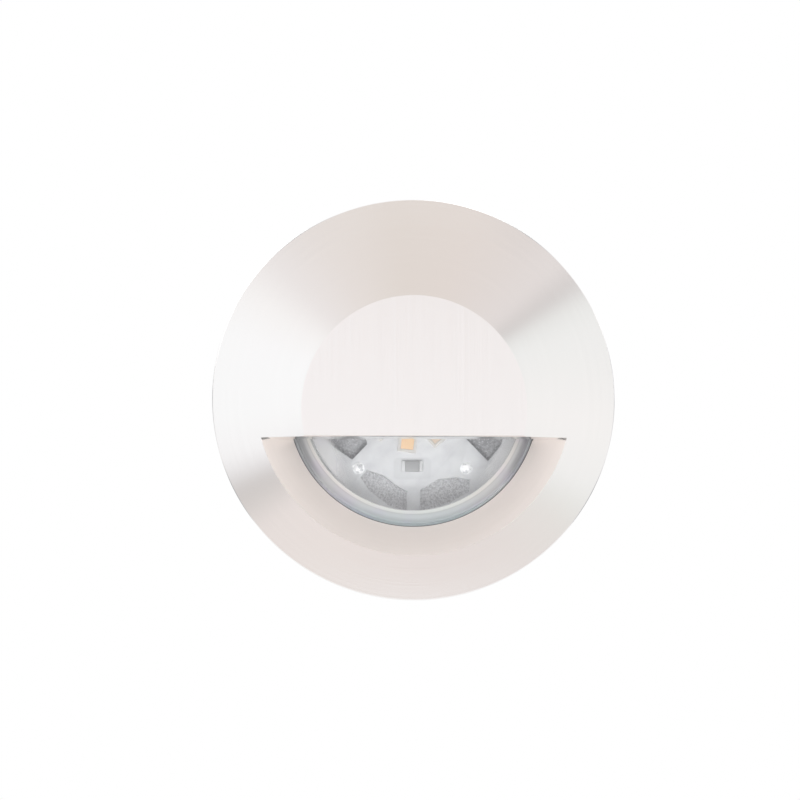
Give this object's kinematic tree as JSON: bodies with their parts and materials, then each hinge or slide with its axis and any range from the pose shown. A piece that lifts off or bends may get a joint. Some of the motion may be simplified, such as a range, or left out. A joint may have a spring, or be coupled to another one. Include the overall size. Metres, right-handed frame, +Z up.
{
  "type": "recessed step light",
  "caption": "Round recessed step light: brushed face with a hood over a half moon window, finned housing, cable gland and sprung retaining clips.",
  "frame": {"origin": "on the light's axis, at the wall's surface, which is the rear face of the gasket", "axes": "+Y goes into the wall, so the face looks along -Y; +Z is up, with the hood above the window"},
  "size_m": [0.06, 0.0646, 0.06],
  "materials": {
    "face_metal": "circular brushed cone and scoop, straight brushed hood front",
    "gasket_rubber": "soft matt",
    "seal_rubber": "soft matt",
    "clear_lens": "clear and polished",
    "ring_metal": "turned, bright",
    "white_board": "white solder mask, satin",
    "led_case": "white moulded",
    "phosphor": "yellow, soft gloss",
    "chip_grey": "ceramic, matt",
    "tin": "tinned, bright",
    "solder": "reflowed, bright",
    "spreader_grey": "coarse cast, dark grey",
    "housing_metal": "cast and turned",
    "driver_mask": "green solder mask",
    "component_black": "moulded",
    "capacitor_sleeve": "printed sleeve, no print",
    "ferrite": "pressed",
    "terminal_green": "moulded",
    "spacer_brass": "turned",
    "screw_steel": "stainless, bright",
    "lead_insulation": "smooth",
    "gland_plastic": "moulded, fine grain",
    "clip_steel": "stamped stainless",
    "spring_steel": "drawn wire",
    "tip_rubber": "matt"
  },
  "bodies": {
    "light": {"face_plate": "face_metal", "face_gasket": "gasket_rubber", "lens_seal": "seal_rubber", "lens": "clear_lens", "lens_ring": "ring_metal", "led_board": "white_board", "led_bodies": "led_case", "led_phosphors": "phosphor", "chip_resistors": "chip_grey", "resistor_ends": "tin", "solder_joints": "solder", "board_screws": "screw_steel", "led_leads": "lead_insulation", "heat_spreader": "spreader_grey", "housing": "housing_metal", "housing_seal": "seal_rubber", "driver_board": "driver_mask", "driver_standoffs": "spacer_brass", "driver_screws": "screw_steel", "driver_capacitor": "capacitor_sleeve", "driver_inductor": "ferrite", "driver_bridge": "component_black", "driver_chip": "component_black", "driver_terminal": "terminal_green", "rear_cap": "housing_metal", "rear_cap_seal": "seal_rubber", "rear_cap_screws": "screw_steel", "gland_body": "gland_plastic", "gland_washer": "seal_rubber", "gland_seal": "seal_rubber", "gland_nut": "gland_plastic", "gland_locknut": "gland_plastic", "right_clip_bracket": "clip_steel", "right_clip_pin": "screw_steel", "right_clip_spring": "spring_steel", "right_clip_screws": "screw_steel", "left_clip_bracket": "clip_steel", "left_clip_pin": "screw_steel", "left_clip_spring": "spring_steel", "left_clip_screws": "screw_steel"},
    "right_clip": {"right_clip_arm": "clip_steel", "right_clip_tip": "tip_rubber"},
    "left_clip": {"left_clip_arm": "clip_steel", "left_clip_tip": "tip_rubber"}
  },
  "joints": [
    {"name": "right_clip_pivot", "type": "hinge", "parent": "light", "child": "right_clip", "pos_m": [0.02265, 0.035, 0], "axis": [0, 0, -1], "range_deg": [0, 15], "stiffness_Nm_per_rad": 0.15, "deforming": ["right_clip_spring"]},
    {"name": "left_clip_pivot", "type": "hinge", "parent": "light", "child": "left_clip", "pos_m": [-0.02265, 0.035, 0], "axis": [0, 0, 1], "range_deg": [0, 15], "stiffness_Nm_per_rad": 0.15, "deforming": ["left_clip_spring"]}
  ]
}
